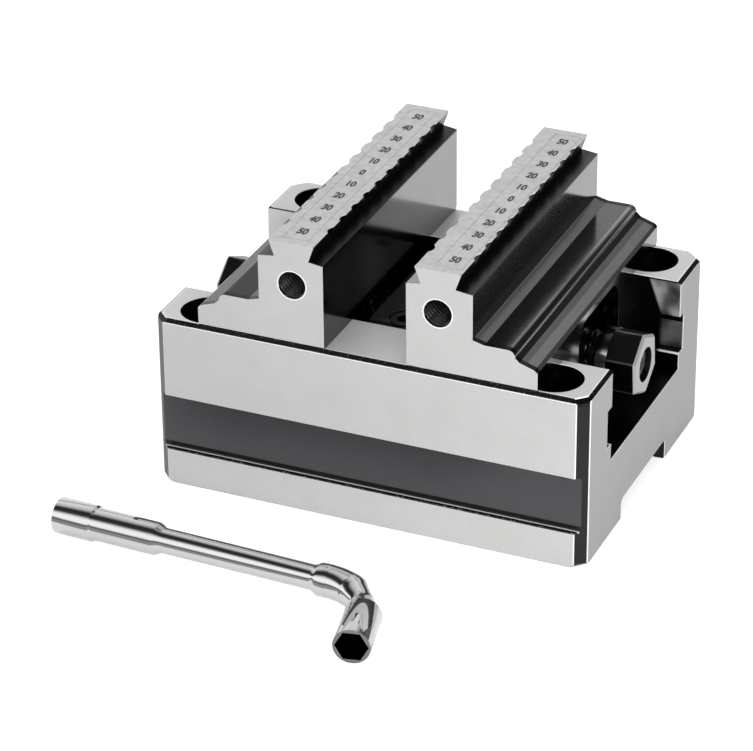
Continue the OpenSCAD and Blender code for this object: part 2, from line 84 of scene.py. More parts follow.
# %% The wire class
class Wire:
    """A node socket that Python's operators work on."""

    def __init__(self, tree, made=None, out=0):
        self.tree = tree
        self.made = made
        self.out = out

    def node(self, kind, settings=None, inputs=None, out=0):
        """Any node, from its type, its settings and the values or wires of its sockets."""
        made = self.tree.nodes.new(kind)
        for name, value in (settings or {}).items():
            if name == "stops":
                ramp = made.color_ramp.elements
                while len(ramp) < len(value):
                    ramp.new(0.5)
                for element, (place, level) in zip(ramp, value):
                    element.position = place
                    element.color = grey(level)
            else:
                setattr(made, name, value)
        for key, value in (inputs or {}).items():
            if isinstance(value, Wire):
                self.tree.links.new(value.made.outputs[value.out], made.inputs[key])
            else:
                made.inputs[key].default_value = value
        return Wire(self.tree, made, out)

    def __getitem__(self, out):
        """Another output of the same node."""
        return Wire(self.tree, self.made, out)

    def maths(self, operation, *terms):
        return self.node("ShaderNodeMath", {"operation": operation}, dict(enumerate(terms)))

    def __add__(self, other):
        return self.maths("ADD", self, other)

    __radd__ = __add__

    def __sub__(self, other):
        return self.maths("SUBTRACT", self, other)

    def __rsub__(self, other):
        return self.maths("SUBTRACT", other, self)

    def __mul__(self, other):
        return self.maths("MULTIPLY", self, other)

    __rmul__ = __mul__

    def __neg__(self):
        return self * -1.0

    def __gt__(self, other):
        return self.maths("GREATER_THAN", self, other)

    def __lt__(self, other):
        return self.maths("LESS_THAN", self, other)

    def __abs__(self):
        return self.maths("ABSOLUTE", self)

    def either(self, other):
        """The larger of two masks: 1 where one of them is 1."""
        return self.maths("MAXIMUM", self, other)

    def step(self, low, high):
        """0 below low, 1 above high, smooth between."""
        return self.node("ShaderNodeMapRange", {"interpolation_type": "SMOOTHSTEP"},
                         {"Value": self, "From Min": low, "From Max": high})

    def mix(self, first, second):
        """The colour that goes from first to second as this wire goes from 0 to 1."""
        return self.node("ShaderNodeMix", {"data_type": "RGBA"}, {0: self, 6: first, 7: second}, 2)

    def parts(self):
        """The x, y and z of a vector."""
        split = self.node("ShaderNodeSeparateXYZ", inputs={0: self})
        return [split[axis] for axis in "XYZ"]


print("wires add, subtract, multiply and compare")

# %% [markdown]
# On the real vise, a spot's finish follows from where it lies and which way it faces: the grinding wheel
# only reached the outside. Faces could be chosen one by one and given materials, but a new pack renumbers
# them. So a material reads the object's own coordinates and facing, which move with the piece, and the
# helpers here turn them into masks.

# %% Start and finish a material
def new_material(name):
    """A material with an empty tree, its start wire, and the object's own coordinates as a wire."""
    material = bpy.data.materials.new(name)
    material.use_nodes = True
    material.node_tree.nodes.clear()
    start = Wire(material.node_tree)
    return material, start, start.node("ShaderNodeTexCoord")["Object"]


def finish_material(start, **inputs):
    """The shader and the output at a tree's end."""
    sockets = {name.replace("_", " "): value for name, value in inputs.items()}
    shader = start.node("ShaderNodeBsdfPrincipled", inputs=sockets)
    start.node("ShaderNodeOutputMaterial", inputs={"Surface": shader})


print("materials can be started and finished")

# %% Noise, bumps and masks
STRAIGHT = 0.97


def noise(place, scale, detail=3.0, stretch=(1.0, 1.0, 1.0)):
    """Noise from 0 to 1, drawn out along the axes where stretch is small."""
    drawn = place.node("ShaderNodeVectorMath", {"operation": "MULTIPLY"}, {0: place, 1: stretch})
    return place.node("ShaderNodeTexNoise", inputs={"Vector": drawn, "Scale": scale, "Detail": detail})


def bump(height, distance, strength):
    """The facing that a height gives."""
    inputs = {"Height": height, "Distance": distance, "Strength": strength}
    return height.node("ShaderNodeBump", inputs=inputs)


def flat_to(face, axis):
    """1 where the surface faces straight along an axis."""
    return abs(face[axis]) > STRAIGHT


def band(value, low, high):
    """1 between low and high, 0 outside."""
    return (value > low) * (value < high)


print("masks can be made from places, facings and noise")

# %% [markdown]
# Ground steel is pale and nearly matt, with fine lines along the stroke of the wheel. Black oxide is a thin
# dark skin over a polish, so it mirrors its surroundings dimly. In chamfers, grooves and holes it was never
# polished and stays dull. Bright lines on the edges are painted highlights, painted shade darkens a few
# places, and handling leaves a grey stain. Each could be a material of its own, but their borders cross
# single faces. One shader mixes them by masks.

# %% Colours of the steel
PALE = (0.525, 0.525, 0.52, 1)
POLISHED = grey(0.31, 0.005)
# Colour of the painted highlights on edges.
PAINTED_HIGHLIGHT_COLOUR = grey(0.92)
# Grey of handling stains and of painted shade.
STAIN_AND_SHADE_COLOUR = grey(0.16)
PALE_ROUGH = 0.42
PALE_METAL = 0.2
DULL_ROUGH = 0.14
CLOUD_ROUGH = 0.04
print("ground steel is", PALE, "and the polished skin is", POLISHED)

# %% Unevenness of the steel
def unevenness(place):
    """The lines of the grinding wheel, wide clouds and fine ones, each from 0 to 1."""
    along = noise(place, scale=2400.0, stretch=(0.06, 1.0, 1.0))
    return along, noise(place, scale=90.0), noise(place, scale=900.0)


def uneven(colour, along, cloud, fine):
    """The colour, a few percent darker and lighter from spot to spot."""
    shade = (cloud * 0.5 + along * 0.2 + fine * 0.3).step(0.25, 0.75)
    tint = shade.mix(grey(0.96), grey(1.04))
    settings = {"data_type": "RGBA", "blend_type": "MULTIPLY"}
    return shade.node("ShaderNodeMix", settings, {0: 1.0, 6: colour, 7: tint}, 2)


print("steel gets clouds and lines")

# %% The steel's shader
def steel(name, masks, rough_dark):
    """Steel whose masks function tells each spot's finish: ground is 1 where it is ground, rim is
    1 on a painted highlight, stain is how much grey stain and painted shade it has, dark is the
    colour of the polished skin, painted shade and highlights included, dull is 1 where that skin is dull, and
    dull_colour is its colour there."""
    material, start, place = new_material(name)
    found = masks(place, place.parts(), place["Normal"].parts())
    along, cloud, fine = unevenness(place)
    skin = found["dull"].mix(found["dark"], found["dull_colour"])
    colour = found["ground"].mix(skin, PALE)
    pale = found["ground"]
    # Painted highlights lighten the colour, and stains and painted shade darken it.
    if "rim" in found:
        colour = found["rim"].mix(colour, PAINTED_HIGHLIGHT_COLOUR)
        pale = pale.either(found["rim"])
    if "stain" in found:
        colour = found["stain"].mix(colour, STAIN_AND_SHADE_COLOUR)
    rough = pale * (PALE_ROUGH - rough_dark) + rough_dark + cloud * CLOUD_ROUGH
    rough = rough + found["dull"] * (1.0 - pale) * DULL_ROUGH
    finish_material(start, Base_Color=uneven(colour, along, cloud, fine), Roughness=rough,
                    Metallic=1.0 - pale * (1.0 - PALE_METAL),
                    Normal=bump(along * pale, distance=0.00002, strength=0.25))
    return material


print("the base, the jaws and the hexagon heads share one shader")

# %% [markdown]
# The base is ground on its outside faces only: the long sides above and below the clamping groove, both
# ends, the top and the underside. A black band runs round the top edges, with a painted highlight line beside
# it, and another black line lies below the groove, with a painted highlight on the shoulder there. The
# rounded edges carry painted highlights too. These are a millimetre wide or less, too narrow to be worth
# modelling as strips, so the masks draw them by height and by distance from the faces.

# %% Edges of the base
RIM = 0.00032
BLACK_EDGE = 0.0013
GROOVE_LINE = (0.0139, 0.0147)
SHOULDER_HEIGHT = (0.0140, 0.0151)
SHOULDER_DEPTH = (base_high.y - 0.00155, base_high.y - 0.00105)
# Strength of the painted highlight on the shoulder below the groove.
SHOULDER_SHINE = 0.7


def base_edges(spot, face):
    """Where the base is ground, where painted highlights lie on its edges, where black bands lie, and where
    its ends are.
    """
    x, y, z = spot
    wide, deep = abs(x), abs(y)
    flat = [flat_to(face, axis) for axis in range(3)]
    near = [wide > base_high.x - RIM, deep > base_high.y - RIM, (z > top_z - RIM).either(z < RIM)]
    side = near[0].either(near[1])
    ground = (near[0] * flat[0]).either(near[1] * flat[1]).either(near[2] * flat[2])
    # Painted highlights on the rounded edges that aren't ground.
    rim = side.either(near[2]) * (1.0 - ground)
    level = band(z, top_z - RIM, top_z + RIM)
    black = side * (z > top_z - BLACK_EDGE) * (1.0 - level * flat[2])
    black = black.either(level * (deep > base_high.y - BLACK_EDGE))
    black = black.either(level * (wide > base_high.x - BLACK_EDGE))
    black = black.either(near[1] * band(z, *GROOVE_LINE))
    # Painted highlight lines beside the black bands and on the shoulder below the groove.
    side_line = side * band(z, top_z - BLACK_EDGE - RIM, top_z - BLACK_EDGE)
    long_line = level * band(deep, base_high.y - BLACK_EDGE - RIM, base_high.y - BLACK_EDGE)
    end_line = level * band(wide, base_high.x - BLACK_EDGE - RIM, base_high.x - BLACK_EDGE)
    shoulder = band(deep, *SHOULDER_DEPTH) * band(z, *SHOULDER_HEIGHT) * SHOULDER_SHINE
    rim = (rim * (1.0 - black)).either(side_line).either(long_line).either(end_line).either(shoulder)
    return ground * (1.0 - black), rim, black, near[0] * flat[0]


print("bright lines", RIM, "wide, black bands", BLACK_EDGE, "wide")

# %% [markdown]
# Chips and the jaws' guides rub the black off the walls of the way near both ends of the base, and painted
# light makes these patches brighter. A painted highlight runs along the edge of the wing below. At the left
# end the wall gets a painted highlight too, and at the right end it is patchy. This could be painted on an
# image, but noise that a few masks hold in place needs none and is as sharp at any size.

# %% Wear and painted light in the way
WALL_DEPTH = (0.0345, 0.0395)
WALL_HEIGHT = (top_z - 0.0145, top_z - 0.0009)
WALL_START = 0.0673
WALL_SLOPE = 0.36
WING_DEPTH = (0.0385, 0.0395)
WING_HEIGHT = (0.0345, 0.0475)
WING_START = (0.0705, 0.0725)
GLINT_DEPTH = (0.0347, 0.0355)
GLINT_HEIGHT = (0.0364, 0.0372)
GLINT_START = (0.0710, 0.0730)


def way_wear_and_light(place, spot, face):
    """Where the way's walls and wings are rubbed pale and brightened with painted light, and where a
    painted highlight glints on the wing's edge.
    """
    x, y, z = spot
    wide, deep = abs(x), abs(y)
    rubbed = noise(place, scale=110.0, detail=1.5)
    patchy = (rubbed.step(0.35, 0.65) * 0.6 + 0.2) * (x > 0.0) + (x < 0.0)
    slant = ((wide - WALL_START) + (z - top_z) * WALL_SLOPE).step(0.0, 0.0012)
    wall = band(deep, *WALL_DEPTH) * flat_to(face, 1) * slant * band(z, *WALL_HEIGHT) * patchy
    wing = band(deep, *WING_DEPTH) * flat_to(face, 1) * x.step(*WING_START) * band(z, *WING_HEIGHT)
    wing = wing * (rubbed.step(0.3, 0.7) * 0.3 + 0.15)
    # A painted highlight along the edge of the wing.
    glint = band(deep, *GLINT_DEPTH) * x.step(*GLINT_START) * band(z, *GLINT_HEIGHT)
    return wall.either(wing), glint


print("the way's walls are worn from", WALL_START, "outward")

# %% [markdown]
# What stays black on the base isn't one black. The clamping groove is a smoother, greyer band, the chamfered
# corners are a little lighter than the way, and the bands along the top edges are speckled where they are
# worn. They could be split off as objects, but a colour that the masks choose keeps the base one piece.

# %% Blacks of the base
GROOVE_DEPTH = 0.0025
GROOVE_HEIGHT = (0.0163, top_z - 0.01)
CORNER = 0.0041
CORNER_TOP = top_z - 0.003
# Painted shade that darkens both ground end faces of the base.
END_PAINTED_SHADE = 0.22


def base_blacks(place, spot, face, ground, black):
    """The colour of the dull skin in the groove, on the corners, in the way and in the black bands."""
    x, y, z = spot
    wide, deep = abs(x), abs(y)
    groove = (deep > base_high.y - GROOVE_DEPTH) * flat_to(face, 1) * (1.0 - ground)
    groove = groove * band(z, *GROOVE_HEIGHT)
    corner = (wide > base_high.x - CORNER) * (deep > base_high.y - CORNER) * (z < CORNER_TOP)
    specks = noise(place, scale=1500.0, detail=2.0).step(0.58, 0.68)
    colour = groove.mix(grey(0.03, 0.001), grey(0.104, 0.007))
    colour = (corner * (1.0 - groove)).mix(colour, grey(0.04, 0.001))
    return (black * specks).mix(colour, grey(0.3))


def base_masks(place, spot, face):
    """The finishes of the base."""
    ground, rim, black, end = base_edges(spot, face)
    wear_and_light, glint = way_wear_and_light(place, spot, face)
    # The left wall of the way gets a painted highlight over its wear.
    return {"ground": ground.either(wear_and_light), "rim": rim.either(glint).either(wear_and_light * (spot[0] < 0.0)),
            # The ground end faces get painted shade.
            "stain": end * END_PAINTED_SHADE, "dark": POLISHED, "dull": 1.0 - ground,
            "dull_colour": base_blacks(place, spot, face, ground, black)}


ground_base = steel("ground_base", base_masks, rough_dark=0.16)
print("the base's material has", len(ground_base.node_tree.nodes), "nodes")

# %% [markdown]
# A jaw is ground on its two ends, on top of its ridge and under its foot. A shallow engraved line frames the
# numbers on the ridge. A line a tenth of a millimetre deep could be cut into the mesh, but at this size only
# the shade in it is seen, so a mask paints that shade as a darker line.

# %% Painted shade of the line round the numbers
NUMBER_X = {1: jaw_inner + 0.0138, -1: -(jaw_inner + 0.0113)}
FRAME_SIDE = 0.0047
FRAME_END = 0.056
FRAME_FADE = 0.0005


def line_at(value, place):
    """1 on a line at a place, fading out to both sides."""
    return 1.0 - abs(value - place).step(0.0, FRAME_FADE)


def engraved_frame_shade(spot):
    """The painted shade of the line round the numbers, which stand in a different place on each jaw."""
    x, y = spot[:2]
    off_line = abs(x - NUMBER_X[1]) * (x > 0.0) + abs(x - NUMBER_X[-1]) * (x < 0.0)
    sides = line_at(off_line, FRAME_SIDE) * (abs(y) < FRAME_END + 0.0002)
    ends = line_at(abs(y), FRAME_END) * (off_line < FRAME_SIDE + 0.0003)
    return sides.either(ends)


print("the numbers stand at x =", NUMBER_X)

# %% [markdown]
# Each end of a jaw has a threaded hole for a work stop, whose mouth gets a bright ring of painted
# highlight. Inside it, on the ledges beside the ridge and at the ends of the foot, the black is dull. The
# rings could be meshes of their own, but a mask that measures the distance from the hole's axis works on
# both jaws and at both ends at once.

# %% Holes, ledges and dull places of a jaw
STOP_X = jaw_inner + 0.0114
STOP_Z = 0.088
STOP_R = 0.0051
MOUTH_WIDTH = 0.0004
HOLE_MARGIN = 0.0001
LEDGE_Z = ridge_z - 0.0072
LEDGE_OUT = 0.031
LEDGE_IN = 0.022
LEDGE_FADE = (0.0352, 0.0385)
DARK_END = 0.0024
LEANS_UP = 0.3


def jaw_dull(spot, face, ground, near_end, near_top):
    """The painted highlight ring at the holes' mouths, where the skin is dull, and its colour there."""
    x, y, z = spot
    across = abs(x) - STOP_X
    up = z - STOP_Z
    off = across * across + up * up
    mouth_highlight = near_end * band(off, STOP_R ** 2, (STOP_R + MOUTH_WIDTH) ** 2)
    in_hole = (off < (STOP_R + HOLE_MARGIN) ** 2) * (1.0 - near_end)
    beside = (abs(x) > LEDGE_OUT).either(band(x, -LEDGE_IN, 0.0))
    ledge = (z > LEDGE_Z) * beside * (1.0 - ground) * (1.0 - near_end) * (1.0 - near_top)
    dark_end = (abs(y) > jaw_side - DARK_END) * (1.0 - ground) * (face[2] > LEANS_UP) * (z < LEDGE_Z)
    colour = abs(x).step(*LEDGE_FADE).mix(grey(0.04), grey(0.085, 0.001))
    colour = in_hole.either(dark_end).mix(colour, grey(0.025))
    return mouth_highlight, ledge.either(in_hole).either(dark_end), colour


print("work-stop holes at x", STOP_X, "and z", STOP_Z, "with radius", STOP_R)

# %% [markdown]
# The skin itself isn't equally dark either. On the real jaws the sloped foot is darker than the tall faces,
# the left jaw's foot is the darkest, and the near part of the gripping faces is dark too. Polished metal
# takes its tone from what it mirrors, and more lamps could shape that, but they would spoil the other views.
# So that shade is painted: the skin's colour is set by place, darker on the foot and the near gripping
# faces, and lighter where the foot faces up.

# %% Skin of a jaw, with painted shade
FOOT_X = 0.0393
FOOT_Z = 0.0748
GRIP_X = jaw_inner + 0.0004
GRIP_FADE = (-0.035, -0.015)
FACES_UP = 0.9


def jaw_skin_and_shade(spot, face):
    """The colour of the polished skin on the tall faces, the gripping faces and the foot, with painted shade
    on the foot and on the near gripping faces.
    """
    x, y, z = spot
    sloped = 1.0 - flat_to(face, 0)
    foot = (abs(x) > FOOT_X) * sloped * (z > FOOT_Z)
    left_foot = (x < -FOOT_X) * sloped
    # Painted shade on the near part of the gripping faces.
    shaded_grip = (abs(x) < GRIP_X) * flat_to(face, 0) * (1.0 - y.step(*GRIP_FADE))
    # Painted shade on the foot, lighter where it faces up, and darkest on the left jaw.
    foot_light_and_shade = (face[2] > FACES_UP).mix(grey(0.1, 0.002), grey(0.19, 0.003))
    foot_light_and_shade = left_foot.mix(foot_light_and_shade, grey(0.085, 0.002))
    return foot.either(left_foot).mix(shaded_grip.mix(POLISHED, grey(0.12, 0.002)), foot_light_and_shade)


print("the foot's darker skin starts at x", FOOT_X)

# %% Jaws
def jaw_masks(place, spot, face):
    """The finishes of a jaw."""
    y, z = spot[1:]
    near_end = abs(y) > jaw_side - RIM
    near_top = z > ridge_z - RIM
    ground = (near_end * flat_to(face, 1)).either(near_top * flat_to(face, 2))
    # Painted highlights on the rounded edges of the ends and of the ridge.
    rim = (near_end * (face[2] < LEANS_UP)).either(near_top) * (1.0 - ground)
    mouth_highlight, dull, dull_colour = jaw_dull(spot, face, ground, near_end, near_top)
    handling = near_top * (noise(place, scale=420.0, detail=2.5).step(0.38, 0.7) * 0.2 + 0.12)
    # The frame line round the numbers is painted shade.
    line = engraved_frame_shade(spot) * near_top * ground * 0.3
    return {"ground": ground, "rim": rim.either(mouth_highlight), "stain": handling + line,
            "dark": jaw_skin_and_shade(spot, face), "dull": dull, "dull_colour": dull_colour}


ground_jaw = steel("ground_jaw", jaw_masks, rough_dark=0.12)
print("the jaws' material has", len(ground_jaw.node_tree.nodes), "nodes")

# %% [markdown]
# The hexagon heads are black, but wrenches have worn their corners and chamfers, and their ends are ground.
# The pale corners and chamfers are that wear together with a painted highlight. Behind the hexagon stands a
# turned collar, with a painted highlight where it faces the front, and the bore is painted darker as shade.
# The wear could be a separate edge mesh, but it lies where the distance from the axis is greatest, which a
# mask measures directly.

# %% Hexagon heads
HEX_END = 0.0003
HEX_BORE = 0.0066
HEX_CORNER = (0.01172, 0.0119)
HEX_LENGTH = 0.0108
HEX_CHAMFER = 0.0012
COLLAR_START = 0.011
COLLAR_FADE = (0.7, 0.9)


def hexagon_masks(place, spot, face):
    """The finishes of a hexagon head."""
    x, y, z = spot
    up = z - axis_z
    off = y * y + up * up
    outside = off > HEX_BORE ** 2
    ground = (abs(x) > hex_high.x - HEX_END) * flat_to(face, 0)
    chamfer = (abs(x) > hex_high.x - HEX_CHAMFER) * (1.0 - ground) * (abs(face[0]) > 0.3) * outside
    corner = off.step(HEX_CORNER[0] ** 2, HEX_CORNER[1] ** 2) * (abs(x) > hex_high.x - HEX_LENGTH)
    # Wear and a painted highlight on the corners and the chamfer.
    worn = chamfer.either(corner * 0.3)
    # A painted highlight on the collar where it faces the front.
    collar = (abs(x) < hex_high.x - COLLAR_START) * (-face[1]).step(*COLLAR_FADE) * outside
    # Painted shade in the bore.
    bore_shade = (1.0 - outside) * (1.0 - ground)
    return {"ground": ground.either(worn * 0.6), "dark": collar.mix(grey(0.06, 0.002), grey(0.9, 0.01)),
            "dull": worn.either(bore_shade), "dull_colour": bore_shade.mix(grey(0.3), grey(0.02))}


hexagon_steel = steel("hexagon_steel", hexagon_masks, rough_dark=0.28)
print("the hexagon heads' material has", len(hexagon_steel.node_tree.nodes), "nodes")

# %% [markdown]
# The wrench is plated with bright chrome over a polished bar. Chrome has almost no colour of its own, so its
# look is the studio that it mirrors, and only faint waves in the plating break that mirror up. Inside the
# two sockets there is no plating: they are black. They could be separate inner faces, but masks that measure
# each spot's distance from the arms' axes need no change to the CAD piece.

# %% Sockets of the wrench
WRENCH_BEND = (0.023, -0.1075, 0.0064)
LONG_ARM = 0.119
SHORT_ARM = 0.034
LONG_WAY = math.radians(-2)
SHORT_WAY = math.radians(-78)
SOCKET_R = 0.0059
SOCKET_DEPTH = 0.0125
SOCKET_LIP = 0.0002


def socket_inside(spot, way, reach):
    """1 inside the socket at the end of the arm that runs from the bend along the angle way."""
    x, y, z = [spot[i] - WRENCH_BEND[i] for i in range(3)]
    along = x * math.cos(way) + y * math.sin(way)
    across = x * math.sin(way) - y * math.cos(way)
    off = across * across + z * z
    return (off < SOCKET_R ** 2) * band(along, reach - SOCKET_DEPTH, reach - SOCKET_LIP)


print("arms of", LONG_ARM, "and", SHORT_ARM, "metres")

# %% Chrome
def chrome_plate():
    """Chrome outside, black in the sockets. The long arm points the other way, so its spots are turned."""
    material, start, place = new_material("chrome")
    spot = place.parts()
    waves = noise(place, scale=160.0)
    turned = [WRENCH_BEND[0] * 2 - spot[0], WRENCH_BEND[1] * 2 - spot[1], spot[2]]
    inside = socket_inside(turned, LONG_WAY, LONG_ARM).either(socket_inside(spot, SHORT_WAY, SHORT_ARM))
    plate = waves.mix(grey(0.63, 0.01), grey(0.67, 0.01))
    finish_material(start, Base_Color=inside.mix(plate, grey(0.012)), Metallic=1.0,
                    Roughness=waves * 0.04 + 0.04 + inside * 0.4,
                    Normal=bump(waves, distance=0.0002, strength=0.1))
    return material


chrome = chrome_plate()
print("the chrome's material has", len(chrome.node_tree.nodes), "nodes")

# %% [markdown]
# The small parts are of one metal all over: bronze thrust washers, bright dowels and screws, a darker thread
# in the work-stop holes, and black oxide on the rest. Flat colours would do at this size, but a little
# waviness in colour and gloss keeps them from looking like plastic when a view comes near.

# %% Plain metals
def simple_metal(name, colour, rough):
    """A bare metal with faint waves."""
    material, start, place = new_material(name)
    waves = noise(place, scale=160.0)
    lighter = tuple(min(1.0, c * 1.06) for c in colour[:3]) + (1,)
    finish_material(start, Base_Color=waves.mix(colour, lighter), Metallic=1.0,
                    Roughness=waves * 0.05 + rough, Normal=bump(waves, distance=0.0002, strength=0.1))
    return material


def oxide_steel(name, colour, rough):
    """Black oxide all over, without a ground face."""
    material, start, place = new_material(name)
    along, cloud, fine = unevenness(place)
    finish_material(start, Base_Color=uneven(colour, along, cloud, fine), Metallic=1.0,
                    Roughness=cloud * CLOUD_ROUGH + rough)
    return material


bronze = simple_metal("bronze", (0.62, 0.43, 0.2, 1), 0.3)
bright_steel = simple_metal("bright_steel", grey(0.6, 0.01), 0.25)
thread_steel = simple_metal("thread_steel", grey(0.42, 0.005), 0.14)
black_steel = oxide_steel("black_steel", grey(0.12, 0.003), 0.24)
print("bronze, bright steel, thread steel and black steel")

# %% [markdown]
# No edge on the real vise is perfectly sharp: a stone or a file has taken it off, and the round that is left
# catches the light. The rounds could be cut in CAD, but they would only make the solids heavy. A bevel
# modifier makes them here and leaves the CAD mesh as it is. A weld comes first, because points that nearly
# coincide would tear the bevel.

# %% Softened edges
EDGE_WIDTH_MM = {"base_body": 0.25, "jaw_left": 0.25, "jaw_right": 0.25, "hex_head_left": 0.3,
                 "hex_head_right": 0.3, "socket_wrench": 0.2}
WELD_DISTANCE = 0.000005
SHARP_EDGE = math.radians(28)


def soften_edges(piece, width_mm):
    """Small rounds on the sharp edges, which catch the light as real ones do."""
    weld = piece.modifiers.new("weld", "WELD")
    weld.merge_threshold = WELD_DISTANCE
    round_off = piece.modifiers.new("edges", "BEVEL")
    round_off.width = width_mm * MM
    round_off.segments = 2
    round_off.limit_method = "ANGLE"
    round_off.angle_limit = SHARP_EDGE
    round_off.use_clamp_overlap = True
    round_off.harden_normals = False


for name, width_mm in EDGE_WIDTH_MM.items():
    soften_edges(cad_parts[name], width_mm)
print(len(EDGE_WIDTH_MM), "nodes have softened edges")

# %% Materials of the CAD nodes
FINISHES = {
    "base_body": ground_base, "jaw_left": ground_jaw, "jaw_right": ground_jaw,
    "hex_head_left": hexagon_steel, "hex_head_right": hexagon_steel, "socket_wrench": chrome,
    "thrust_washer_left": bronze, "thrust_washer_right": bronze, "saddle_dowels": bright_steel,
    "hex_screw_left": bright_steel, "hex_screw_right": bright_steel,
}

for name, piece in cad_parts.items():
    piece.data.materials.clear()
    piece.data.materials.append(FINISHES.get(name, black_steel))
print(len(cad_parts), "nodes have a finish")

# %% [markdown]
# The numbers on the ridges count ten millimetre steps from the middle outward. They are small engraved
# figures, filled with black. They could be an image laid on the ridge, but Blender's text tool draws them
# sharp at any size. They become thin closed meshes that stand a hair above the ridge, so nothing flickers.

# %% Ink of the figures
def number_ink():
    """Black filling, a little uneven."""
    material, start, place = new_material("number_ink")
    cloud = noise(place, scale=2500.0)
    finish_material(start, Base_Color=cloud.mix(grey(0.01), grey(0.05)), Roughness=cloud * 0.3 + 0.4)
    return material


ink = number_ink()
print("the ink's material has", len(ink.node_tree.nodes), "nodes")

# %% One number's mesh
FIGURE_SIZE = 0.0042
FIGURE_WEIGHT = 0.0002
FIGURE_HALF_HEIGHT = 0.00006
JOIN_DISTANCE = 0.000004
NEEDLE_WIDTH = 0.000002


def close_figures(mesh):
    """Joins the walls of the figures to their faces, so that each figure is one closed body."""
    work = bmesh.new()
    work.from_mesh(mesh)
    bmesh.ops.remove_doubles(work, verts=work.verts, dist=JOIN_DISTANCE)
    bmesh.ops.dissolve_degenerate(work, edges=work.edges, dist=NEEDLE_WIDTH)
    bmesh.ops.recalc_face_normals(work, faces=work.faces)
    work.to_mesh(mesh)
    work.free()


def figures_mesh(words):
    """Text as a closed mesh, centred on its origin."""
    text = bpy.data.curves.new("figures", "FONT")
    text.body = words
    text.size = FIGURE_SIZE
    text.align_x = "CENTER"
    text.align_y = "CENTER"
    text.offset = FIGURE_WEIGHT
    text.extrude = FIGURE_HALF_HEIGHT
    shape = bpy.data.objects.new("figures", text)
    bpy.context.scene.collection.objects.link(shape)
    bpy.context.view_layer.update()
    mesh = bpy.data.meshes.new_from_object(shape)
    bpy.data.objects.remove(shape)
    close_figures(mesh)
    return mesh


print("figures", FIGURE_SIZE, "metres high before they are stretched")

# %% Scale numbers
NUMBER_STEP = 0.010
FIGURE_SINK = 0.00004
FIGURE_STRETCH = (0.86, 1.36, 1.0)


def add_numbers(side, body):
    """The numbers from 50 to 0 to 50 on one jaw."""
    for count in range(-5, 6):
        number = bpy.data.objects.new(f"number_{body}_{count + 5}", figures_mesh(str(abs(count) * 10)))
        bpy.context.scene.collection.objects.link(number)
        number.data.materials.clear()
        number.data.materials.append(ink)
        number.location = (NUMBER_X[side], count * NUMBER_STEP, ridge_z - FIGURE_SINK)
        number.scale = FIGURE_STRETCH
        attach(number, body)


add_numbers(1, "right_jaw")
add_numbers(-1, "left_jaw")
print("eleven numbers on each ridge")

# %% [markdown]
# The thread in a work-stop hole is cut by a tap and shows as dark rings with glints. A picture of rings on a
# plain hole would look flat from the side, so it is a real helix: a short tube in the hole whose inner
# radius rises and falls along its turns. A tube has four strips of faces: inside, outside and the two ends.

# %% A tube with an inner thread
STOP_CREST = 0.00462
STOP_PITCH = 0.00175
TUBE_WALL = 0.00004


def link_mesh(name, points, faces):
    """An object in the scene from points and faces."""
    mesh = bpy.data.meshes.new(name)
    mesh.from_pydata(points, [], faces)
    mesh.update()
    piece = bpy.data.objects.new(name, mesh)
    bpy.context.scene.collection.objects.link(piece)
    return piece


def threaded_tube(name, centre, ends, outer, around=36, per_turn=6):
    """A closed tube along Y, from ends[0] to ends[1], with a helical inside; centre is its x and z."""
    rows = round(abs(ends[1] - ends[0]) / STOP_PITCH * per_turn) + 1
    points = []
    for i in range(rows):
        y = ends[0] + (ends[1] - ends[0]) * i / (rows - 1)
        for k in range(around):
            angle = 2 * math.pi * k / around
            wave = abs(((y / STOP_PITCH - k / around) % 1.0) * 2 - 1)
            inner = STOP_CREST + (outer - TUBE_WALL - STOP_CREST) * wave
            for r in (inner, outer):
                points.append((centre[0] + r * math.cos(angle), y, centre[1] + r * math.sin(angle)))
    faces = []
    last = (rows - 1) * 2 * around
    for k in range(around):
        a, b = 2 * k, 2 * ((k + 1) % around)
        for i in range(rows - 1):
            low, high = i * 2 * around, (i + 1) * 2 * around
            faces.append((low + a, high + a, high + b, low + b))
            faces.append((low + b + 1, high + b + 1, high + a + 1, low + a + 1))
        faces.append((a, b, b + 1, a + 1))
        faces.append((last + a + 1, last + b + 1, last + b, last + a))
    if ends[1] > ends[0]:
        faces = [tuple(reversed(face)) for face in faces]
    return link_mesh(name, points, faces)


print("a work stop's thread has a pitch of", STOP_PITCH)

# %% Threads of the work-stop holes
STOP_START = jaw_side - 0.0009
STOP_END = jaw_side - 0.0185
TUBE_GAP = 0.00002

for side, body in ((1, "right_jaw"), (-1, "left_jaw")):
    for end, end_name in ((-1, "front"), (1, "back")):
        tube = threaded_tube(f"stop_thread_{body}_{end_name}", (side * STOP_X, STOP_Z),
                             (end * STOP_START, end * STOP_END), STOP_R - TUBE_GAP)
        tube.data.materials.append(thread_steel)
        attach(tube, body)
print("four threaded holes of", len(tube.data.polygons), "faces each")

# %% [markdown]
# The spindle carries a right-hand thread on one half and a left-hand thread on the other. CAD keeps a plain
# bar there, because a thread is all facets. A screw modifier could make one hand, but not both with a collar
# between them. Here rings of points are swept along the bar, and each point's radius follows the trapezium
# profile of the thread at its own place along the helix.

# %% Sizes of the spindle
THREAD_OUT = 8.95 * MM
THREAD_IN = 7.2 * MM
THREAD_PITCH = 4 * MM
THREAD_END = 64.5 * MM
COLLAR_HALF = 3.0 * MM
COLLAR_R = 12.5 * MM
JOURNAL_END = 11.05 * MM
JOURNAL_R = 9.5 * MM
RUN_OUT = 1.5 * MM
CREST_END = 0.36
ROOT_START = 0.5
ROOT_END = 0.86


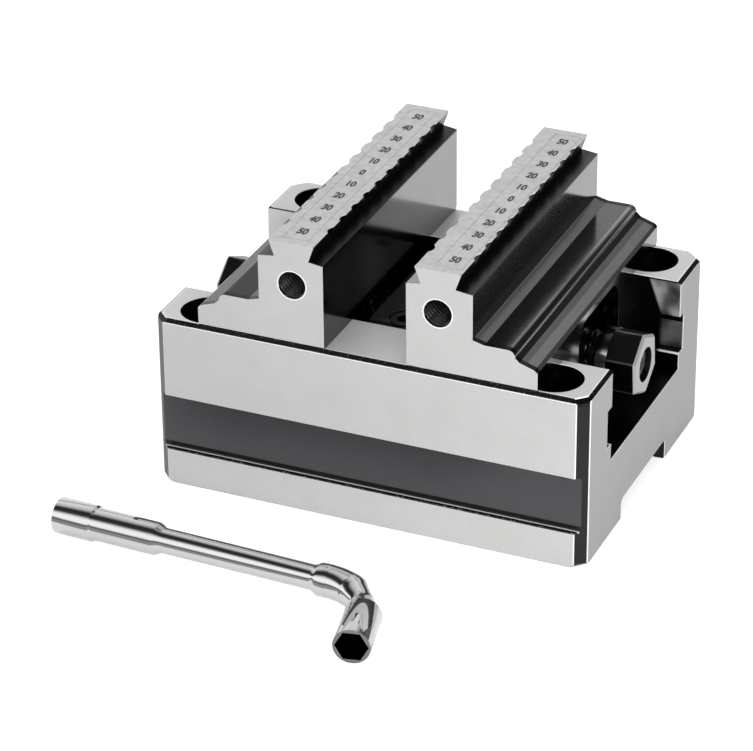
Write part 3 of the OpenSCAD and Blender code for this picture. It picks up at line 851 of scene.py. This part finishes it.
def trapezium(phase):
    """Radius of a trapezoidal thread at a phase from 0 to 1 along one pitch."""
    phase = phase % 1.0
    if phase < CREST_END:
        return THREAD_OUT
    if phase < ROOT_START:
        return THREAD_OUT + (THREAD_IN - THREAD_OUT) * (phase - CREST_END) / (ROOT_START - CREST_END)
    if phase < ROOT_END:
        return THREAD_IN
    return THREAD_IN + (THREAD_OUT - THREAD_IN) * (phase - ROOT_END) / (1.0 - ROOT_END)


def spindle_radius(x, angle):
    """Radius of the spindle at x and at an angle round it: collar, journals, then a thread on each side."""
    far = abs(x)
    if far <= COLLAR_HALF:
        return COLLAR_R
    if far <= JOURNAL_END:
        return JOURNAL_R
    hand = 1 if x < 0 else -1
    run = min(1.0, (far - JOURNAL_END) / RUN_OUT, (THREAD_END - far + 0.0001) / RUN_OUT)
    deep = trapezium(x / THREAD_PITCH - hand * angle / (2 * math.pi))
    return THREAD_IN + (deep - THREAD_IN) * max(0.0, run)


print("thread from", THREAD_IN, "to", THREAD_OUT, "in radius, pitch", THREAD_PITCH)

# %% Spindle with its threads
SHOULDER_GAP = 0.00001


def ring_places():
    """The x of every ring: half a millimetre apart, with a pair of rings at each shoulder."""
    steps = [i * 0.5 * MM for i in range(0, 130)]
    half = [x for x in steps if x < THREAD_END] + [THREAD_END]
    half += [COLLAR_HALF + SHOULDER_GAP, JOURNAL_END, JOURNAL_END + SHOULDER_GAP]
    half = sorted(set(round(x, 6) for x in half))
    return [-x for x in reversed(half)] + half[1:]


def swept_bar(name, rings, radius_at, around=48):
    """A closed bar along X: one ring of points for each x, with the radius given for x and angle."""
    points = []
    faces = []
    for x in rings:
        for k in range(around):
            angle = 2 * math.pi * k / around
            r = radius_at(x, angle)
            points.append((x, r * math.cos(angle), axis_z + r * math.sin(angle)))
    for i in range(len(rings) - 1):
        for k in range(around):
            a = i * around + k
            b = i * around + (k + 1) % around
            faces.append((a, b, b + around, a + around))
    faces.append(tuple(reversed(range(around))))
    faces.append(tuple(range(len(points) - around, len(points))))
    return link_mesh(name, points, faces)


spindle_piece = swept_bar("threaded_spindle", ring_places(), spindle_radius)
spindle_piece.data.materials.append(black_steel)
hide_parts("spindle")
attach(spindle_piece, "drive_spindle")
print("spindle has", len(spindle_piece.data.polygons), "faces")

# %% [markdown]
# The picture is a catalogue photograph: white all round, a faint shadow, and soft light. The floor is white
# paper. More light could make it white, but would burn out the steel. So where the camera or a mirror sees
# it, it glows a little, and a diffuse ray sees only plain paper, so the glow puts no light on the object.
# In front of the wrench, mirrors see darker paper, as if it ended there, which gives the chrome its
# contrast.

# %% White paper
PAPER = grey(0.6)
PAPER_STRIP = grey(0.2)
STRIP_EDGE = (-0.133, -0.123)
GLOW_SEEN = 0.7
GLOW_MIRRORED = 0.34
GLOW_STRIP = 0.10


def white_paper():
    """Paper that glows to the camera and in mirrors only."""
    material, start, place = new_material("white_paper")
    path = start.node("ShaderNodeLightPath")
    mirrored = path["Is Glossy Ray"].either(path["Is Transmission Ray"])
    strip = (1.0 - place.parts()[1].step(*STRIP_EDGE)) * mirrored
    shine = path["Is Camera Ray"] * GLOW_SEEN + mirrored * GLOW_MIRRORED
    shine = shine - strip * (GLOW_MIRRORED - GLOW_STRIP)
    paper = start.node("ShaderNodeBsdfDiffuse", inputs={"Color": strip.mix(PAPER, PAPER_STRIP)})
    glow = start.node("ShaderNodeEmission", inputs={"Color": grey(1.0), "Strength": shine})
    both = start.node("ShaderNodeAddShader", inputs={0: paper, 1: glow})
    start.node("ShaderNodeOutputMaterial", inputs={"Surface": both})
    return material


paper_material = white_paper()
print("the paper's material has", len(paper_material.node_tree.nodes), "nodes")

# %% Floor
FLOOR_HALF = 4.0
FLOOR_DROP = 0.00005


def make_floor():
    """A square of paper a hair below the vise."""
    corners = [(x * FLOOR_HALF, y * FLOOR_HALF, 0) for x, y in ((-1, -1), (1, -1), (1, 1), (-1, 1))]
    floor = link_mesh("floor", corners, [(0, 1, 2, 3)])
    floor.location.z = -FLOOR_DROP
    floor.data.materials.append(paper_material)


make_floor()
print("the floor is", 2 * FLOOR_HALF, "metres wide")

# %% [markdown]
# The studio round the object is what polished metal shows. It could be built from softboxes and black cards,
# but a world that is worked out from the direction is quicker and has no noise. Its level depends on how far
# a direction has turned up from the front: a dark strip along the floor's edge, a bright front wall, a black
# ceiling strip and a grey back, which is darker on the right. Diffuse surfaces see an even grey instead, so
# the level of light stays plain.

# %% World
DEGREES_AND_LEVEL = [(0, 0.12), (9, 0.14), (16, 0.88), (33, 0.95), (43, 0.85), (53, 0.4), (61, 0.04),
                     (84, 0.015), (92, 0.14), (104, 0.46), (120, 0.64), (138, 0.7), (149, 0.32),
                     (159, 0.7), (180, 0.7)]
MIRROR_LEVEL = 1.42
DIFFUSE_LEVEL = 0.5
RIGHT_DARKER = 0.85
RIGHT_FADE = (-0.1, 0.3)
BACK_FADE = (0.5, 0.65)


def make_world():
    """The studio: white to the camera, strips of light and dark in mirrors, an even grey elsewhere."""
    world = bpy.data.worlds.new("studio")
    world.use_nodes = True
    world.node_tree.nodes.clear()
    bpy.context.scene.world = world
    start = Wire(world.node_tree)
    x, y, z = start.node("ShaderNodeTexCoord")["Generated"].parts()
    path = start.node("ShaderNodeLightPath")
    turn = z.maths("ARCTAN2", z, -y) * (1 / math.pi)
    stops = [(degrees / 180, level) for degrees, level in DEGREES_AND_LEVEL]
    ramp = start.node("ShaderNodeValToRGB", {"stops": stops}, {0: turn})
    right = x.step(*RIGHT_FADE) * turn.step(*BACK_FADE)
    mirror = ramp * MIRROR_LEVEL * (1.0 - right * RIGHT_DARKER)
    camera = path["Is Camera Ray"]
    glossy = path["Is Glossy Ray"].either(path["Is Transmission Ray"])
    level = camera + (1.0 - camera) * (glossy * mirror + (1.0 - glossy) * DIFFUSE_LEVEL)
    sky = start.node("ShaderNodeBackground", inputs={"Color": grey(1.0), "Strength": level})
    start.node("ShaderNodeOutputWorld", inputs={"Surface": sky})


make_world()
print("the studio has", len(DEGREES_AND_LEVEL), "levels from the front over the top to the back")

# %% [markdown]
# Three large soft lamps shape the ground faces: one in front on the right, one above, and one low behind for
# the views from there. They could show in the polished faces too, but only as hard squares, so mirrors don't
# see them. The world and the floor alone decide what is mirrored.

# %% Lamps
LAMP_AIM = (0, 0, 0.05)


def add_lamp(name, place, size, power):
    """A soft square lamp that mirrors don't see."""
    light = bpy.data.lights.new(name, "AREA")
    light.shape = "SQUARE"
    light.size = size
    light.energy = power
    lamp = bpy.data.objects.new(name, light)
    bpy.context.scene.collection.objects.link(lamp)
    lamp.location = place
    lamp.rotation_euler = (Vector(place) - Vector(LAMP_AIM)).to_track_quat("Z", "Y").to_euler()
    lamp.visible_glossy = False
    print(name, "of", power, "W at", place)


add_lamp("front_lamp", (0.22, -0.50, 0.26), 0.4, 3.0)
add_lamp("top_lamp", (-0.1, 0.15, 1.1), 0.8, 3.6)
add_lamp("back_lamp", (-0.25, 0.55, 0.28), 0.4, 1.8)

# %% [markdown]
# The camera stands where the photograph's did. It could be placed by eye, but its place, turn, lens and
# small shift come from fitting a pinhole camera to the corners of the base and the jaws.

# %% Camera
camera_data = bpy.data.cameras.new("camera")
camera_data.sensor_fit = "HORIZONTAL"
camera_data.sensor_width = 36.0
camera_data.lens = 169.41
camera_data.shift_x = -0.01964
camera_data.shift_y = 0.00183
camera_data.dof.use_dof = False
camera_data.clip_start = 0.05
camera_data.clip_end = 20.0
camera = bpy.data.objects.new("camera", camera_data)
bpy.context.scene.collection.objects.link(camera)
right = (0.919096, 0.393981, -0.006421)
up = (-0.184177, 0.443948, 0.87692)
back = (0.34834, -0.804791, 0.480594)
stand = (0.425454, -1.020062, 0.634201)
rows = [(right[i], up[i], back[i], stand[i]) for i in range(3)]
camera.matrix_world = Matrix(rows + [(0, 0, 0, 1)])
bpy.context.scene.camera = camera
bpy.context.scene.view_settings.view_transform = "Standard"
print("camera at", tuple(camera.location))
